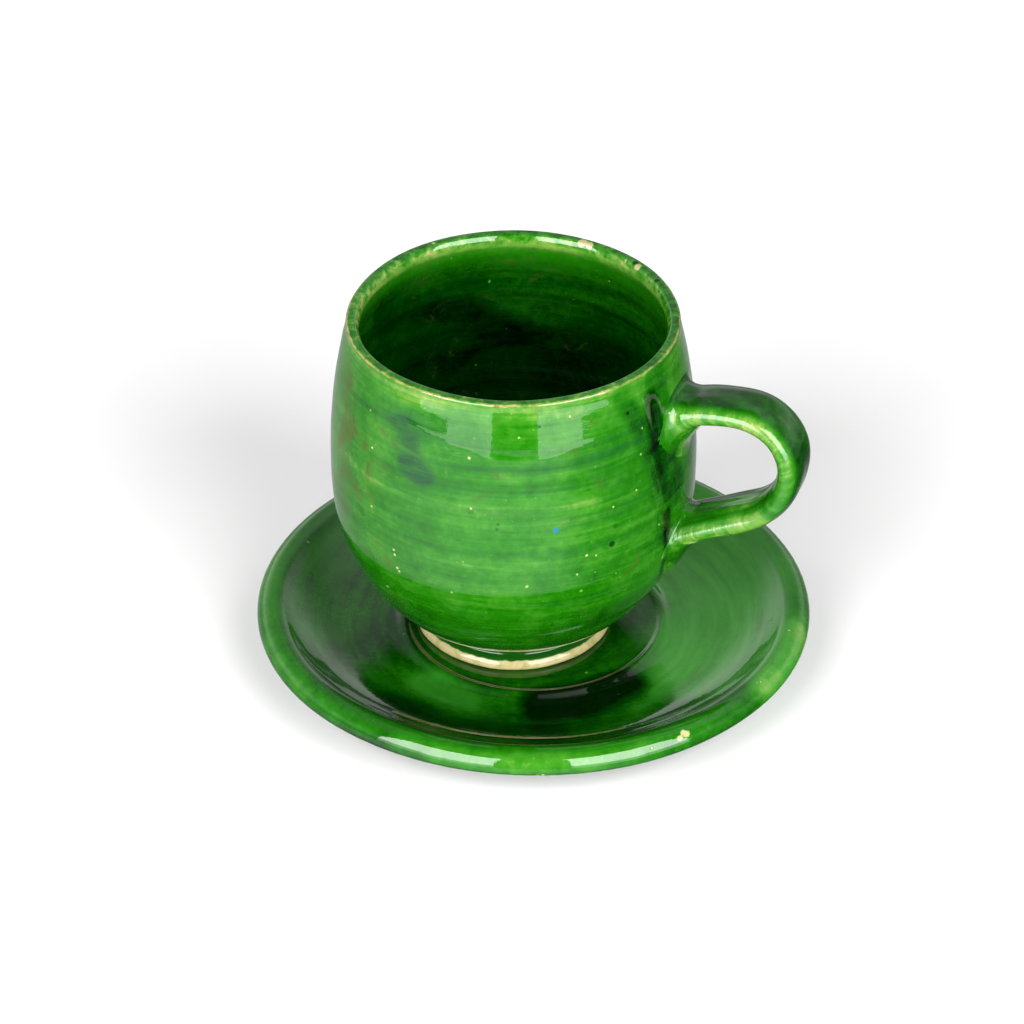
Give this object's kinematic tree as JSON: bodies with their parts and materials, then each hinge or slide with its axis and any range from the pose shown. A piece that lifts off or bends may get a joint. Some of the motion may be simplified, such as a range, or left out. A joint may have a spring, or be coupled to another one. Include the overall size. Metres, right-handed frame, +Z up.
{
  "type": "teacup and saucer",
  "caption": "Round-bellied glazed earthenware teacup with a luted strap handle, standing in the well of a thick-rimmed saucer it lifts off.",
  "frame": {"origin": "centre of the saucer's foot ring on the table plane, which is the middle of the underside of the whole object", "axes": "+Z up through the saucer's axis, +X towards the side on which the cup's handle stands, +Y completes the right-handed frame"},
  "size_m": [0.1507, 0.15, 0.106],
  "materials": {
    "saucer_glaze": "glossy copper-green glaze, darker where it pools",
    "rim_glaze": "glossy copper-green glaze, thin and yellower over the roll",
    "cup_glaze": "glossy streaked copper-green glaze",
    "handle_glaze": "glossy copper-green glaze, run thin along the edges",
    "bare_clay": "wiped cream clay with a thin glaze haze"
  },
  "bodies": {
    "saucer": {"saucer_dish": "saucer_glaze", "saucer_rim_roll": "rim_glaze", "saucer_foot_ring": "bare_clay"},
    "cup": {"cup_body": "cup_glaze", "cup_foot_ring": "bare_clay", "handle_strap": "handle_glaze", "handle_upper_pad": "handle_glaze", "handle_lower_tail": "handle_glaze"}
  },
  "joints": [
    {"name": "cup_lift", "type": "slide", "parent": "saucer", "child": "cup", "axis": [0, 0, 1], "range_m": [0, 0.08]}
  ]
}
